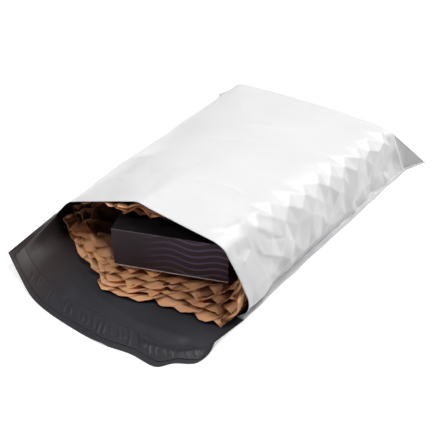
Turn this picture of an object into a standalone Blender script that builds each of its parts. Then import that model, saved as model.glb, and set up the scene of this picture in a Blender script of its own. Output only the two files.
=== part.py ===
"""Open poly mailer bag, packed: a white film bag lying on its back panel, with its sealing flap out, its
adhesive strip under a release liner, and inside it a closed carton in a wound wrap of crimped kraft paper.

Metres, +Z up. The bag lies along Y with its mouth towards -Y. The origin is on the floor, under the middle
of the whole bag. Inside the script, y is measured from the lip of the front panel until each mesh is made."""

import math

import bmesh
import bpy
import numpy as np

# Film, as bought flat
FILM_WIDTH = 0.260
WELD = 0.008
FILM = 0.0008

# Bag, as filled. Lengths run from the lip
FLAP = 0.084
BODY_Y = 0.075
SHOULDER_Y = 0.267
FOLD_Y = 0.300
EAR_Y = 0.311
LEFT_EAR_Y = 0.301
HALF_BASE = 0.1035
MOUTH_HEIGHT = 0.0716
BODY_HEIGHT = 0.0680
TAIL_HEIGHT = 0.0535
LEFT_SEAM = 0.020
LEFT_SEAM_TAIL = 0.014

# The right seam's distance from the middle and the width of its fin, at the lip, the body and the shoulder
RIGHT_SEAM = (0.0992, 0.1033, 0.1148)
RIGHT_FIN = (0.0065, 0.0058, 0.0036)

# The far end
EAR_LIFT = 0.0085
EAR_FROM = 0.6
TAIL_BULGE = 0.004
TAIL_BULGE_HEIGHT = 0.55
TAIL_SHOULDER_SHARE = 0.9
TAIL_DROP = 1.5

# Buckles in staggered rows, from the right shoulder down the wall. Each row has its share of the depth
BUCKLE_DEPTH = 0.0045
BUCKLE_ROWS = (1.0, 1.0, 0.6, 0.4)
BUCKLE_PITCH = 0.0226
BUCKLE_SPREAD = 0.9
BUCKLES_START = 0.052
BUCKLES_END = 0.248

# Adhesive strip and its liner, on the flap
STRIP_FROM_END = 0.007
STRIP_WIDTH = 0.015
STRIP_THICKNESS = 0.0004
LINER_THICKNESS = 0.0004
LINER_MARGIN = 0.0015
STRIP_COLUMNS_LEFT_OUT = 3

# Kraft wrap
TURNS = 4.2
PAPER = 0.0004
CRIMP_LENGTH = 0.016
CRIMP_SHARE = 0.8
CRIMP_MOST = 0.0015
TIGHT_CRIMP = 0.0008
WRAP_PLAY = 0.0004
WRAP_END_Y = 0.250
WRAP_LEAN = 0.040
WRAP_STEP = 0.020
WRAP_MOUTH_ROOM = 0.042
WRAP_CORE_END = (0.050, 0.006)
CORE_SQUARENESS = 10
TAIL_ANGLE = math.radians(-138)

# Carton
CARTON_WIDTH = 0.097
CARTON_DEPTH = 0.090
CARTON_HEIGHT = 0.037
CARTON_EDGE = 0.0006
CARTON_ANGLE = math.radians(21.2)
CARTON_CORNER = (-0.010, -0.020, 0.015)

# Room that parts keep from each other
REST_GAP = 0.0003
SIDE_ROOM = 0.004

# How finely the film is divided: the front panel's right wall, top and left wall, then the other stretches
FRONT_SPANS = (8, 22, 5)
BACK_SPANS = 15
TAIL_STEPS = 6
FLAP_SPANS = 3
FLAP_END_SPANS = 120
LEAD_STATIONS = (0, 0.25, 0.6)
RING_POINTS = 400
SPIRAL_POINTS = 3000
CURVE_POINTS = 16
ROUNDING = 1.5

# Outlines across the bag, as shares of half the base and of the height there. The front panel's run from the
# right seam up the wall, over the top and down to the left seam, in those three stretches
MOUTH_FRONT = ([(1.05, 0.15), (1.06, 0.30), (1.01, 0.45), (0.955, 0.60), (0.885, 0.75), (0.83, 0.86)],
               [(0.75, 0.905), (0.50, 0.936), (0.14, 0.98), (0.03, 1.0), (-0.115, 0.93), (-0.245, 0.855),
                (-0.74, 0.565)],
               [(-0.80, 0.50)])
BODY_FRONT = ([(1.04, 0.26), (1.0, 0.55), (0.85, 0.83)],
              [(0.48, 0.96), (0, 1.0), (-0.42, 0.92), (-0.745, 0.67)],
              [(-0.89, 0.48)])
TAIL_FRONT = ([(1.05, 0.30), (1.05, 0.60), (1.01, 0.88)],
              [(0.48, 0.98), (0, 1.0), (-0.40, 0.98), (-0.79, 0.92)],
              [(-0.92, 0.60)])
MOUTH_LEFT_SEAM = 0.93
BODY_LEFT_SEAM = 0.965
TAIL_LEFT_SEAM = 1.0
BACK_CORNER = [(0.98, 0.45), (0.885, 0.06), (0.76, 0.0)]

# Directions in which the left seam's fin points
MOUTH_LEFT_FIN = (-0.8, -0.6)
BODY_LEFT_FIN = (-0.95, -0.3)
TAIL_LEFT_FIN = (-1.0, 0.0)

# The flap's end from left to right, as shares of half the base, of the flap and of the left seam's height
FLAP_END = [(-0.94, 0.69, 0.60), (-0.73, 0.80, 0.25), (-0.47, 0.93, 0.05), (-0.21, 0.985, 0.0),
            (0.30, 0.996, 0.0), (0.55, 0.935, 0.0), (0.78, 0.92, 0.0), (0.86, 0.80, 0.0), (0.985, 0.69, 0.0),
            (1.02, 0.54, 0.10), (1.025, 0.47, 0.42)]

# The wrap's front edge on the film, as shares of half the base and of the flap
WRAP_FRONT = [(-0.99, -0.11), (-0.82, 0.06), (-0.63, 0.19), (-0.45, 0.31), (-0.31, 0.35), (-0.09, 0.44),
              (0.08, 0.44), (0.27, 0.39), (0.43, 0.30), (0.75, 0.285), (0.96, 0.26), (1.05, 0.10)]


def mix(a, b, share):
    return a + (b - a) * share


def smooth(share):
    share = np.clip(share, 0.0, 1.0)
    return share * share * (3 - 2 * share)


def even(curve, count):
    """The curve again, as count points spaced evenly along it."""
    steps = np.linalg.norm(np.diff(curve, axis=0), axis=1)
    along = np.concatenate([[0], np.cumsum(steps)])
    at = np.linspace(0, along[-1], count)
    return np.column_stack([np.interp(at, along, column) for column in curve.T])


def through(*stretches, spans):
    """A smooth curve through all the points, each stretch of it divided evenly into its number of spans."""
    p = np.array([point for stretch in stretches for point in stretch], float)
    chord = np.linalg.norm(np.diff(p, axis=0), axis=1)[:, None]
    slope = np.diff(p, axis=0) / chord
    heading = np.vstack([slope[:1], (slope[:-1] + slope[1:]) / 2, slope[-1:]])
    shorter = np.vstack([chord[:1], np.minimum(chord[:-1], chord[1:]), chord[-1:]])
    t = np.linspace(0, 1, CURVE_POINTS, endpoint=False)[:, None]
    runs = []
    for k, length in enumerate(chord):
        leave = heading[k] * np.minimum(length, ROUNDING * shorter[k])
        arrive = heading[k + 1] * np.minimum(length, ROUNDING * shorter[k + 1])
        bend = t * (1 - t) * (leave * (1 - t) - arrive * t)
        runs.append(mix(p[k], p[k + 1], smooth(t)) + bend)
    curve = np.vstack(runs + [p[-1:]])
    ends = np.cumsum([len(stretch) for stretch in stretches]) - 1
    starts = [0, *ends[:-1]]
    pieces = [even(curve[a * len(t):b * len(t) + 1], n + 1)[1:] for a, b, n in zip(starts, ends, spans)]
    return np.vstack([curve[:1]] + pieces)


def clockwise(direction):
    """Each row of direction turned a quarter turn clockwise, at unit length."""
    turned = np.column_stack([direction[:, 1], -direction[:, 0]])
    return turned / np.linalg.norm(turned, axis=1)[:, None]


def outward(outline):
    """Unit directions square to an outline that runs anticlockwise, away from its middle."""
    return clockwise(np.gradient(outline, axis=0))


class Section:
    """The bag's skin in one plane across it: both panels' outlines, and the middle of each welded seam with
    the direction in which its fin points."""

    def __init__(self, front, back, left, left_fin, right_width):
        self.front = front
        self.back = back
        self.right = np.array([front[0][0], FILM])
        self.right_fin = np.array([1.0, 0.0])
        self.left = np.array(left)
        self.left_fin = np.array(left_fin) / np.linalg.norm(left_fin)
        self.right_width = right_width

    def towards(self, other, share):
        return Section(mix(self.front, other.front, share), mix(self.back, other.back, share),
                       mix(self.left, other.left, share), mix(self.left_fin, other.left_fin, share),
                       mix(self.right_width, other.right_width, share))


def front_side(fin):
    """The direction across a fin, from its middle to the front panel's side."""
    return clockwise(np.array([fin]))[0] * math.copysign(1.0, -fin[0])


def make_section(shape, height, station, left_seam, left_height, left_fin):
    """A section from an outline in shares. station is 0 at the lip, 1 in the body and 2 at the shoulder."""
    right_seam = RIGHT_SEAM[station]
    left = np.array([-left_seam * HALF_BASE, left_height])
    fin = np.array(left_fin) / np.linalg.norm(left_fin)
    across = front_side(fin) * FILM
    wall, top, other_wall = [[(x * HALF_BASE, z * height) for x, z in stretch] for stretch in shape]
    front = through([(right_seam, 2 * FILM)] + wall, top, other_wall + [left + across], spans=FRONT_SPANS)
    return Section(front, under_side(left - across, right_seam), left, fin, RIGHT_FIN[station])


def under_side(left, right_seam):
    """The back panel's outline, from the left seam down to the floor and along it to the right seam."""
    low = [(left[0] * x, left[1] * z) for x, z in BACK_CORNER]
    back = through([left] + low + [(0, 0), (right_seam / 2, 0), (right_seam, 0)], spans=[BACK_SPANS])
    back[:, 1] = np.maximum(back[:, 1], 0)
    return back


def tail_section(share):
    """A section between the shoulder at 0 and the fold at 1, where the front panel comes down."""
    root = FILM_WIDTH / 2 - WELD
    seam = mix(RIGHT_SEAM[-1], root, share)
    right, left = [mix(np.array(edge) * (HALF_BASE, TAIL_HEIGHT), np.array([sign * root, 2 * FILM]), share)
                   for sign, edge in ((1, TAIL_FRONT[0][-1]), (-1, TAIL_FRONT[1][-1]))]
    top = mix(2 * FILM, TAIL_HEIGHT, 1 - share ** TAIL_DROP)
    bulge = TAIL_BULGE * (1 - share)
    seam_end = np.array([-mix(TAIL_LEFT_SEAM * HALF_BASE, root, share), mix(LEFT_SEAM_TAIL, FILM, share)])
    wall = [(mix(seam, right[0], 0.5) + bulge, right[1] * TAIL_BULGE_HEIGHT), right]
    right_height, left_height = (mix(edge[1], top, TAIL_SHOULDER_SHARE) for edge in (right, left))
    over = [(right[0] * 0.5, right_height), (0, top), (left[0] * 0.5, left_height), left]
    other_wall = [mix(left, seam_end, 0.5) + (-bulge, 0), seam_end + (0, FILM)]
    front = through([(seam, 2 * FILM)] + wall, over, other_wall, spans=FRONT_SPANS)
    under = under_side(seam_end - (0, FILM), seam)
    return Section(front, under, seam_end, TAIL_LEFT_FIN, mix(RIGHT_FIN[-1], WELD, share))


def fold_section():
    """The last section: both panels flat on each other at the fold."""
    root = FILM_WIDTH / 2 - WELD
    corner = root - WELD
    front = through([(root, 2 * FILM), (corner, 2 * FILM)], [(0, 2 * FILM), (-corner, 2 * FILM)],
                    [(-root, 2 * FILM)], spans=FRONT_SPANS)
    back = through([(-root, 0), (0, 0), (root, 0)], spans=[BACK_SPANS])
    return Section(front, back, (-root, FILM), TAIL_LEFT_FIN, WELD)


MOUTH = make_section(MOUTH_FRONT, MOUTH_HEIGHT, 0, MOUTH_LEFT_SEAM, LEFT_SEAM, MOUTH_LEFT_FIN)
BODY = make_section(BODY_FRONT, BODY_HEIGHT, 1, BODY_LEFT_SEAM, LEFT_SEAM, BODY_LEFT_FIN)
TAIL = make_section(TAIL_FRONT, TAIL_HEIGHT, 2, TAIL_LEFT_SEAM, LEFT_SEAM_TAIL, TAIL_LEFT_FIN)


def section_at(y):
    if y < BODY_Y:
        return MOUTH.towards(BODY, max(y, 0.0) / BODY_Y)
    return BODY.towards(TAIL, (y - BODY_Y) / (SHOULDER_Y - BODY_Y))


def buckled(outline, y, side):
    """The front outline pushed out in rows from its right shoulder down. side is 1 where the rows at the top
    and every second one below have a crest, and 0 where the rows between them do."""
    reach = smooth((y - BUCKLES_START) / BUCKLE_PITCH) * smooth((BUCKLES_END - y) / BUCKLE_PITCH)
    push = np.zeros(len(outline))
    for row, strength in enumerate(BUCKLE_ROWS):
        crest = FRONT_SPANS[0] + 1 - 2 * row
        there = side if row % 2 == 0 else 1 - side
        push += strength * there * np.exp(-((np.arange(len(outline)) - crest) / BUCKLE_SPREAD) ** 2)
    return outline + outward(outline) * (BUCKLE_DEPTH * reach * push)[:, None]


def body_stations():
    """Where the film's sections lie between the lip and the shoulder, with the buckle's side at each."""
    pairs = max(2, round((BUCKLES_END - BUCKLES_START) / BUCKLE_PITCH))
    places = np.linspace(BUCKLES_START, BUCKLES_END, 2 * pairs + 1)
    lead = [(BUCKLES_START * share, 0) for share in LEAD_STATIONS]
    return lead + [(y, k % 2) for k, y in enumerate(places)] + [(SHOULDER_Y, 0)]


def skin(section, y_at):
    """Both panels' outer skins and inner edges in one section, as 3-D points. y_at gives y for each x."""
    def placed(points):
        points = np.atleast_2d(points)
        return np.column_stack([points[:, 0], y_at(points[:, 0]), points[:, 1]])

    right_across = front_side(section.right_fin) * FILM
    left_across = front_side(section.left_fin) * FILM
    right_tip = section.right + section.right_fin * section.right_width
    left_tip = section.left + section.left_fin * WELD
    right_in = section.right - section.right_fin * 2 * FILM
    left_in = section.left - section.left_fin * 2 * FILM
    return {
        "front": placed(section.front),
        "back": placed(section.back),
        "front_ends": placed([right_in + right_across * 0.8, left_in + left_across * 0.8]),
        "back_ends": placed([left_in, right_in]),
        "tips": placed([right_tip + right_across, left_tip + left_across, left_tip - left_across,
                        right_tip - right_across]),
    }


def film_skins():
    """The skins at every section, from the lip to the fold, closer together towards the fold."""
    skins = []
    for y, side in body_stations():
        section = section_at(y)
        section.front = buckled(section.front, y, side)
        skins.append(skin(section, lambda x, y=y: np.full(len(x), y)))
    for share in 1 - np.linspace(1, 0, TAIL_STEPS + 1)[1:] ** 2:
        section = tail_section(share) if share < 1 else fold_section()
        middle = mix(SHOULDER_Y, FOLD_Y, share)
        ends = [mix(SHOULDER_Y, far, share) for far in (LEFT_EAR_Y, EAR_Y)]
        half = section.right[0] + section.right_width

        def y_at(x, middle=middle, ends=ends, half=half):
            return middle + (np.where(x < 0, *ends) - middle) * (x / half) ** 2

        row = skin(section, y_at)
        for points in row.values():
            reach = smooth((-points[:, 0] / HALF_BASE - EAR_FROM) / EAR_FROM)
            points[:, 2] += EAR_LIFT * share * reach
        skins.append(row)
    return skins


def normals(grid):
    """Unit directions square to a grid of points, rows along Y, outwards for a row that runs anticlockwise."""
    along, across = np.gradient(grid, axis=(0, 1))
    square = np.cross(along, across)
    return square / np.linalg.norm(square, axis=2)[:, :, None]


def inner_skins(skins):
    """The film's inner faces: the outer ones moved in by the film's thickness. They stop short of the fold."""
    inside = {}
    for panel in ("front", "back"):
        grid = np.array([row[panel] for row in skins])
        grid = (grid - normals(grid) * FILM)[:-2]
        for row, points in zip(grid, skins):
            row[[0, -1]] = points[panel + "_ends"]
        inside[panel] = grid
    return inside


def flap_rows():
    """Distances from the lip at which the flap has a row of points, the strip's two edges among them."""
    far = FLAP - STRIP_FROM_END
    near = far - STRIP_WIDTH
    return [near * k / FLAP_SPANS for k in range(1, FLAP_SPANS + 1)] + [far, FLAP]


def flap_grids(lip):
    """The flap's under and upper faces. Their first rows lie at the lip, whose underside is given."""
    end = through([(x * HALF_BASE, -y * FLAP, z * LEFT_SEAM) for x, y, z in FLAP_END], spans=[FLAP_END_SPANS])
    steps = np.linalg.norm(np.diff(lip, axis=0), axis=1)
    shares = np.concatenate([[0], np.cumsum(steps)]) / steps.sum()
    at = np.linspace(0, 1, len(end))
    target = np.column_stack([np.interp(shares, at, column) for column in end.T])
    target[:, 2] = np.maximum(target[:, 2], 0)
    under = np.array([mix(lip, target, y / FLAP) for y in [0] + flap_rows()])
    return under, under + normals(under) * FILM


class Body:
    """Points and faces of one closed body."""

    def __init__(self):
        self.points = []
        self.faces = []

    def row(self, points):
        first = len(self.points)
        self.points.extend(tuple(p) for p in points)
        return list(range(first, len(self.points)))

    def join(self, a, b):
        """Quads between two rows of the same length."""
        self.faces.extend((a[i], a[i + 1], b[i + 1], b[i]) for i in range(len(a) - 1))

    def zip_up(self, a, b):
        """Triangles between two rows of any lengths, always across the shorter of two ways."""
        i = j = 0
        while i < len(a) - 1 or j < len(b) - 1:
            on_a = self.apart(a[i + 1], b[j]) if i < len(a) - 1 else math.inf
            on_b = self.apart(a[i], b[j + 1]) if j < len(b) - 1 else math.inf
            if on_a <= on_b:
                self.faces.append((a[i], a[i + 1], b[j]))
                i += 1
            else:
                self.faces.append((a[i], b[j + 1], b[j]))
                j += 1

    def apart(self, first, second):
        return math.dist(self.points[first], self.points[second])

    def join_all(self, rows):
        for a, b in zip(rows, rows[1:]):
            self.join(a, b)


def film_mesh():
    """The bag: outer and inner faces of a tube of film, welded at its sides, folded at its end, and with its
    back panel carried on past the lip as the flap."""
    outer = film_skins()
    inside = inner_skins(outer)
    body = Body()
    front = [body.row(row["front"]) for row in outer]
    back = [body.row(row["back"]) for row in outer]
    tips = [body.row(row["tips"]) for row in outer]
    front_in = [body.row(row) for row in inside["front"]]
    back_in = [body.row(row) for row in inside["back"]]

    rings = [[t[0]] + f + [t[1]] for f, t in zip(front, tips)]
    soles = [[t[2]] + b + [t[3]] for b, t in zip(back, tips)]
    body.join_all(rings)
    body.join_all(soles)
    body.join_all([[t[1], t[2]] for t in tips])
    body.join_all([[t[3], t[0]] for t in tips])
    body.join_all(front_in)
    body.join_all(back_in)
    body.join_all([[f[-1], b[0]] for f, b in zip(front_in, back_in)])
    body.join_all([[b[-1], f[0]] for f, b in zip(front_in, back_in)])

    body.join(rings[-1][:2], soles[-1][:-3:-1])
    body.zip_up(front[-1], back[-1][::-1])
    body.join(rings[-1][-2:], soles[-1][1::-1])
    body.zip_up(front_in[-1], back_in[-1][::-1])

    body.join(front[0], front_in[0])
    body.faces.append((front[0][0], tips[0][0], back_in[0][-1], front_in[0][0]))
    body.faces.append((front[0][-1], tips[0][1], back_in[0][0], front_in[0][-1]))

    lip = np.array([body.points[k] for k in soles[0]])
    under, upper = flap_grids(lip)
    unders = [soles[0]] + [body.row(row) for row in under[1:]]
    uppers = [[tips[0][1]] + back_in[0] + [tips[0][0]]] + [body.row(row) for row in upper[1:]]
    body.join_all(unders)
    body.join_all(uppers)
    body.join_all([[a[0], b[0]] for a, b in zip(unders, uppers)])
    body.join_all([[a[-1], b[-1]] for a, b in zip(unders, uppers)])
    body.join(unders[-1], uppers[-1])
    return body, upper


def strip_grid(upper, near, far, lift):
    """Points over the flap's upper face between two distances from the lip, lift above it."""
    rows = np.array([0] + flap_rows())
    raised = upper + normals(upper) * lift
    inside = raised[:, STRIP_COLUMNS_LEFT_OUT:-STRIP_COLUMNS_LEFT_OUT]

    def row_at(distance):
        k = min(np.searchsorted(rows, distance, side="right") - 1, len(rows) - 2)
        share = (distance - rows[k]) / (rows[k + 1] - rows[k])
        return mix(inside[k], inside[k + 1], share)

    return np.array([row_at(near), row_at(far)])


def carton_corner(across, along):
    """A corner of the carton's base: across its front and along its depth, each 0 or 1."""
    cos, sin = math.cos(CARTON_ANGLE), math.sin(CARTON_ANGLE)
    x = CARTON_CORNER[0] + across * CARTON_WIDTH * cos - along * CARTON_DEPTH * sin
    y = CARTON_CORNER[1] + across * CARTON_WIDTH * sin + along * CARTON_DEPTH * cos
    return x, y


def core_at():
    """The wrap's inner outline at its rows: y, then centre and half size across and in height."""
    left_back = carton_corner(0, 1)
    right_back = carton_corner(1, 1)
    right_front = carton_corner(1, 0)
    slope = (left_back[0] - CARTON_CORNER[0]) / (left_back[1] - CARTON_CORNER[1])
    left_body = CARTON_CORNER[0] + slope * (BODY_Y - CARTON_CORNER[1]) - SIDE_ROOM
    right = right_front[0] + SIDE_ROOM
    rows = [
        (0.0, CARTON_CORNER[0] - WRAP_MOUTH_ROOM, right),
        (BODY_Y, left_body, right - SIDE_ROOM),
        (right_back[1] + SIDE_ROOM, left_back[0] - SIDE_ROOM, right_back[0] + SIDE_ROOM),
    ]
    room = 2 * REST_GAP + PAPER / 2 + TIGHT_CRIMP
    middle = CARTON_CORNER[2] + CARTON_HEIGHT / 2
    cores = [(y, (a + b) / 2, middle, (b - a) / 2, CARTON_HEIGHT / 2 + room) for y, a, b in rows]
    return cores + [(WRAP_END_Y, 0.0, TAIL_HEIGHT / 2, *WRAP_CORE_END)]


def radius_of(outline, centre, angles):
    """How far the outline lies from the centre, in the directions given."""
    away = outline - centre
    found = np.arctan2(away[:, 1], away[:, 0])
    return np.interp(angles, found, np.linalg.norm(away, axis=1), period=2 * math.pi)


def spiral(core, angles):
    """The wrap's middle line in one row, and how far apart its turns lie at each point."""
    y, x_middle, z_middle, half_width, half_height = core
    section = section_at(y)
    room = FILM + REST_GAP + PAPER / 2 + TIGHT_CRIMP + WRAP_PLAY
    inset = [part - outward(part) * room for part in (section.front, section.back)]
    outline = np.vstack([even(part, RING_POINTS) for part in inset])
    centre = np.array([x_middle, z_middle])
    outer = radius_of(outline, centre, angles)
    cos, sin = np.cos(angles), np.sin(angles)
    inner = (np.abs(cos / half_width) ** CORE_SQUARENESS + np.abs(sin / half_height) ** CORE_SQUARENESS)
    inner = inner ** (-1 / CORE_SQUARENESS)
    share = (angles - TAIL_ANGLE) / (2 * math.pi * TURNS)
    reach = mix(outer, inner, share)
    line = centre + np.column_stack([cos, sin]) * reach[:, None]
    slant = np.abs(np.sum(outward(line) * np.column_stack([cos, sin]), axis=1))
    return line, (outer - inner) / TURNS * slant, share


def front_edge(line, share):
    """The wrap's y at its front edge. Inner turns end farther in, and so does what lies higher."""
    x, y = np.array(WRAP_FRONT).T
    base = np.interp(line[:, 0], x * HALF_BASE, -y * FLAP)
    return base + WRAP_LEAN * (line[:, 1] / MOUTH_HEIGHT) ** 2 + WRAP_STEP * share


def wrap_rows():
    """The wrap's middle surface: a wavy spiral at each row, from its front edge to its far end."""
    cores = core_at()
    fine = TAIL_ANGLE + np.linspace(0, 2 * math.pi * TURNS, SPIRAL_POINTS)
    line, _, _ = spiral(cores[1], fine)
    along = np.concatenate([[0], np.cumsum(np.linalg.norm(np.diff(line, axis=0), axis=1))])
    count = int(along[-1] / (CRIMP_LENGTH / 2))
    angles = np.interp(np.linspace(0, along[-1], count), along, fine)
    waves = np.where(np.arange(count) % 2, 1.0, -1.0)
    rows = []
    for k, core in enumerate(cores):
        line, pitch, share = spiral(core, angles)
        height = np.clip((pitch - PAPER - REST_GAP) / 2 * CRIMP_SHARE, 0, CRIMP_MOST)
        wavy = line + outward(line) * (waves * height)[:, None]
        y = front_edge(line, share) if k == 0 else np.full(count, core[0])
        rows.append(np.column_stack([wavy[:, 0], y, wavy[:, 1]]))
    return np.array(rows)


def material(name, colour, roughness, metallic=0.0, coat=0.0):
    made = bpy.data.materials.new(name)
    made.use_nodes = True
    shader = made.node_tree.nodes["Principled BSDF"]
    shader.inputs["Base Color"].default_value = (*colour, 1.0)
    shader.inputs["Roughness"].default_value = roughness
    shader.inputs["Metallic"].default_value = metallic
    shader.inputs["Coat Weight"].default_value = coat
    return made


def place(name, mesh, surface, collection):
    """An object for a mesh that is already where it belongs."""
    mesh.materials.append(surface)
    placed = bpy.data.objects.new(name, mesh)
    collection.objects.link(placed)
    return placed


def mesh_from(name, points, faces):
    """A mesh, moved from the lip's frame to the bag's own."""
    middle = (EAR_Y - FLAP) / 2
    mesh = bpy.data.meshes.new(name)
    mesh.from_pydata([(x, y - middle, z) for x, y, z in points], [], faces)
    model = bmesh.new()
    model.from_mesh(mesh)
    bmesh.ops.recalc_face_normals(model, faces=model.faces)
    model.to_mesh(mesh)
    model.free()
    return mesh


def make_sheet(name, grid, thickness, surface, collection):
    """A sheet of even thickness, half of it on each side of the grid."""
    body = Body()
    body.join_all([body.row(row) for row in grid])
    placed = place(name, mesh_from(name, body.points, body.faces), surface, collection)
    solid = placed.modifiers.new("thickness", "SOLIDIFY")
    solid.thickness = thickness
    solid.offset = 0.0
    solid.use_even_offset = True
    return placed


def make_carton(surface, collection):
    """The closed carton, one solid."""
    bpy.ops.mesh.primitive_cube_add(size=1.0)
    carton = bpy.context.object
    carton.name = carton.data.name = "carton"
    for old in carton.users_collection:
        old.objects.unlink(carton)
    collection.objects.link(carton)
    carton.dimensions = (CARTON_WIDTH, CARTON_DEPTH, CARTON_HEIGHT)
    bpy.ops.object.transform_apply(location=False, rotation=False, scale=True)
    x, y = carton_corner(0.5, 0.5)
    carton.location = (x, y - (EAR_Y - FLAP) / 2, CARTON_CORNER[2] + CARTON_HEIGHT / 2)
    carton.rotation_euler.z = CARTON_ANGLE
    carton.data.materials.append(surface)
    edge = carton.modifiers.new("edges", "BEVEL")
    edge.width = CARTON_EDGE
    edge.segments = 1
    return carton


def build():
    for old in list(bpy.context.scene.objects):
        bpy.data.objects.remove(old, do_unlink=True)
    collection = bpy.data.collections.new("poly_mailer_bag")
    bpy.context.scene.collection.children.link(collection)

    film = material("white_film", (0.86, 0.86, 0.87), 0.35, coat=0.2)
    glue = material("adhesive", (0.10, 0.10, 0.11), 0.45)
    liner = material("liner_film", (0.14, 0.14, 0.15), 0.25)
    kraft = material("kraft_paper", (0.47, 0.27, 0.14), 0.85)
    board = material("black_carton", (0.02, 0.015, 0.022), 0.40)

    body, upper = film_mesh()
    place("mailer_film", mesh_from("mailer_film", body.points, body.faces), film, collection)

    far = FLAP - STRIP_FROM_END
    near = far - STRIP_WIDTH
    glue_lift = REST_GAP + STRIP_THICKNESS / 2
    liner_lift = 2 * REST_GAP + STRIP_THICKNESS + LINER_THICKNESS / 2
    strip = strip_grid(upper, near, far, glue_lift)
    cover = strip_grid(upper, near - LINER_MARGIN, far + LINER_MARGIN, liner_lift)
    make_sheet("adhesive_strip", strip, STRIP_THICKNESS, glue, collection)
    make_sheet("release_liner", cover, LINER_THICKNESS, liner, collection)
    make_sheet("kraft_wrap", wrap_rows(), PAPER, kraft, collection)
    make_carton(board, collection)


build()
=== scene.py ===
# %% [markdown]
# # A packed poly mailer bag
#
# A white film bag lies open on its back panel. Its sealing flap is out, and in its mouth we see a dark carton
# in a wound wrap of crimped kraft paper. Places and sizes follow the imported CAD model. This lesson dresses it:
# creased film, folded paper, a printed carton, and soft studio light.

# %% Load the model
import math

import bpy
import numpy as np
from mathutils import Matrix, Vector
from mathutils.bvhtree import BVHTree
from mathutils.geometry import delaunay_2d_cdt


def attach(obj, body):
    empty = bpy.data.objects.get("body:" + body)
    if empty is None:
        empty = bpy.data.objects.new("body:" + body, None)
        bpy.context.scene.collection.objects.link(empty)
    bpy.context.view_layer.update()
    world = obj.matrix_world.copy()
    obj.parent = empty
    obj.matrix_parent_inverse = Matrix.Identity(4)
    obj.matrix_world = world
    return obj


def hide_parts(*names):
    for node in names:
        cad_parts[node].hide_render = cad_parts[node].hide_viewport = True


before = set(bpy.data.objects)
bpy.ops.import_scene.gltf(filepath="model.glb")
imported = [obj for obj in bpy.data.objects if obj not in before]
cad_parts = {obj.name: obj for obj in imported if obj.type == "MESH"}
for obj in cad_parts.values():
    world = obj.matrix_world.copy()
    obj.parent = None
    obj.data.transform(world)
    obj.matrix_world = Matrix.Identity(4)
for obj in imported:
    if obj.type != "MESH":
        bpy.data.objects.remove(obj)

bpy.ops.object.select_all(action="DESELECT")
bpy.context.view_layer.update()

# %% [markdown]
# ## Camera
#
# The camera stands to the right of the mouth and looks down at 35 degrees, with a slightly long lens. Its place
# was fitted to the corners of the bag, so it is written as numbers. We make it first, because every later
# choice is judged through it.

# %% Camera
LIP_Y = -0.1135
CAMERA_PLACE = (0.32387, LIP_Y - 0.34446, 0.38854)
CAMERA_AIM = (-0.4728, 0.6652, -0.5779)
CAMERA_LENS = 59.34
bpy.ops.object.camera_add(location=CAMERA_PLACE)
camera = bpy.context.object
camera.rotation_euler = Vector(CAMERA_AIM).to_track_quat("-Z", "Y").to_euler()
camera.data.sensor_width = 36.0
camera.data.lens = CAMERA_LENS
bpy.context.scene.camera = camera
print("camera at", CAMERA_PLACE, "with a lens of", CAMERA_LENS, "mm")

# %% [markdown]
# ## Curves and grids
#
# Film and paper are sheets. Each one here is a grid primitive whose points are laid over a surface that we work
# out row by row, and Solidify then gives it its thickness. These helpers draw a smooth curve through a few
# points, space points evenly along it, and lay a grid.

# %% Curve helpers
def mix(a, b, share):
    return a + (b - a) * share


def smooth(share):
    share = np.clip(share, 0.0, 1.0)
    return share * share * (3 - 2 * share)


def even(curve, count):
    """The curve again, as count points spaced evenly along it."""
    steps = np.linalg.norm(np.diff(curve, axis=0), axis=1)
    along = np.concatenate([[0], np.cumsum(steps)])
    at = np.linspace(0, along[-1], count)
    return np.column_stack([np.interp(at, along, column) for column in curve.T])


ROUNDING = 1.5


def through(*stretches, spans):
    """A smooth curve through all the points, each stretch of it divided evenly into its number of spans."""
    p = np.array([point for stretch in stretches for point in stretch], float)
    chord = np.linalg.norm(np.diff(p, axis=0), axis=1)[:, None]
    slope = np.diff(p, axis=0) / chord
    heading = np.vstack([slope[:1], (slope[:-1] + slope[1:]) / 2, slope[-1:]])
    shorter = np.vstack([chord[:1], np.minimum(chord[:-1], chord[1:]), chord[-1:]])
    t = np.linspace(0, 1, 24, endpoint=False)[:, None]
    runs = []
    for k, length in enumerate(chord):
        leave = heading[k] * np.minimum(length, ROUNDING * shorter[k])
        arrive = heading[k + 1] * np.minimum(length, ROUNDING * shorter[k + 1])
        bend = t * (1 - t) * (leave * (1 - t) - arrive * t)
        runs.append(mix(p[k], p[k + 1], smooth(t)) + bend)
    curve = np.vstack(runs + [p[-1:]])
    ends = np.cumsum([len(stretch) for stretch in stretches]) - 1
    starts = [0, *ends[:-1]]
    pieces = [even(curve[a * len(t):b * len(t) + 1], n + 1)[1:] for a, b, n in zip(starts, ends, spans)]
    return np.vstack([curve[:1]] + pieces)


def clockwise(direction):
    """Each row of direction turned a quarter turn clockwise, at unit length."""
    turned = np.column_stack([direction[:, 1], -direction[:, 0]])
    return turned / np.linalg.norm(turned, axis=1)[:, None]


def outward(outline):
    """Unit directions square to an outline that runs anticlockwise, away from its middle."""
    return clockwise(np.gradient(outline, axis=0))


def normals(grid):
    """Unit directions square to a grid of points, outwards where its rows run anticlockwise and follow +Y."""
    along, across = np.gradient(grid, axis=(0, 1))
    square = np.cross(along, across)
    return square / (np.linalg.norm(square, axis=2)[:, :, None] + 1e-12)


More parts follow.
